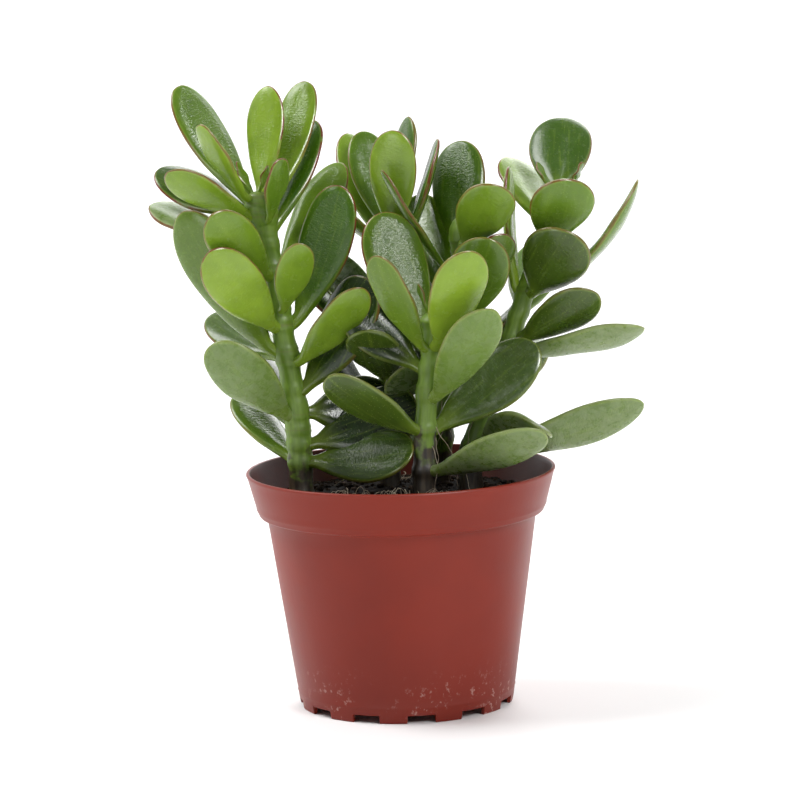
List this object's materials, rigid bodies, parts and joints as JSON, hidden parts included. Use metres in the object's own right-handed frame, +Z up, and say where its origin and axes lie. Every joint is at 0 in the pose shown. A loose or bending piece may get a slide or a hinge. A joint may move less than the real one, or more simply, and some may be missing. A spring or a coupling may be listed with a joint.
{
  "type": "potted jade plant",
  "caption": "Jade plant with thick oval leaves in opposite pairs on upright green stems, in a round tapered plastic nursery pot of soil.",
  "frame": {"origin": "centre of the circle that the pot's foot stands on, on the ground; the bounding box is centred over it to within a millimetre", "axes": "+Z up along the pot's axis; the plant's front, with the low front leaves, faces -Y; +X to the right of somebody who faces it"},
  "size_m": [0.1897, 0.1206, 0.2406],
  "materials": {
    "pot_plastic": "satin",
    "soil": "matte",
    "stem": "satin",
    "old_leaf": "satin",
    "leaf": "satin",
    "young_leaf": "satin"
  },
  "bodies": {
    "root": {"pot": "pot_plastic", "soil": "soil", "stem_left": "stem", "stem_front": "stem", "stem_back": "stem", "stem_middle": "stem", "stem_right": "stem", "leaf_left_01": "old_leaf", "leaf_left_02": "leaf", "leaf_left_03": "leaf", "leaf_left_04": "leaf", "leaf_left_05": "leaf", "leaf_left_06": "leaf", "leaf_left_07": "leaf", "leaf_left_08": "young_leaf", "leaf_left_09": "young_leaf", "leaf_left_10": "young_leaf", "leaf_left_11": "young_leaf", "leaf_left_12": "young_leaf", "leaf_left_13": "young_leaf", "leaf_left_14": "young_leaf", "leaf_left_15": "young_leaf", "leaf_left_16": "young_leaf", "leaf_left_17": "young_leaf", "leaf_front_01": "old_leaf", "leaf_front_02": "leaf", "leaf_front_03": "leaf", "leaf_front_04": "leaf", "leaf_front_05": "leaf", "leaf_back_01": "old_leaf", "leaf_back_02": "leaf", "leaf_back_03": "leaf", "leaf_back_04": "young_leaf", "leaf_back_05": "young_leaf", "leaf_back_06": "young_leaf", "leaf_back_07": "young_leaf", "leaf_middle_01": "old_leaf", "leaf_middle_02": "leaf", "leaf_middle_03": "leaf", "leaf_middle_04": "leaf", "leaf_middle_05": "young_leaf", "leaf_middle_06": "young_leaf", "leaf_middle_07": "young_leaf", "leaf_right_01": "old_leaf", "leaf_right_02": "old_leaf", "leaf_right_03": "old_leaf", "leaf_right_04": "leaf", "leaf_right_05": "leaf", "leaf_right_06": "leaf", "leaf_right_07": "leaf", "leaf_right_08": "young_leaf", "leaf_right_09": "young_leaf", "leaf_right_10": "young_leaf", "pair_left_01": "old_leaf", "pair_left_02": "old_leaf", "pair_front_01": "old_leaf", "pair_back_01": "leaf", "pair_back_02": "young_leaf", "pair_right_01": "leaf", "pair_right_02": "young_leaf"}
  },
  "joints": []
}
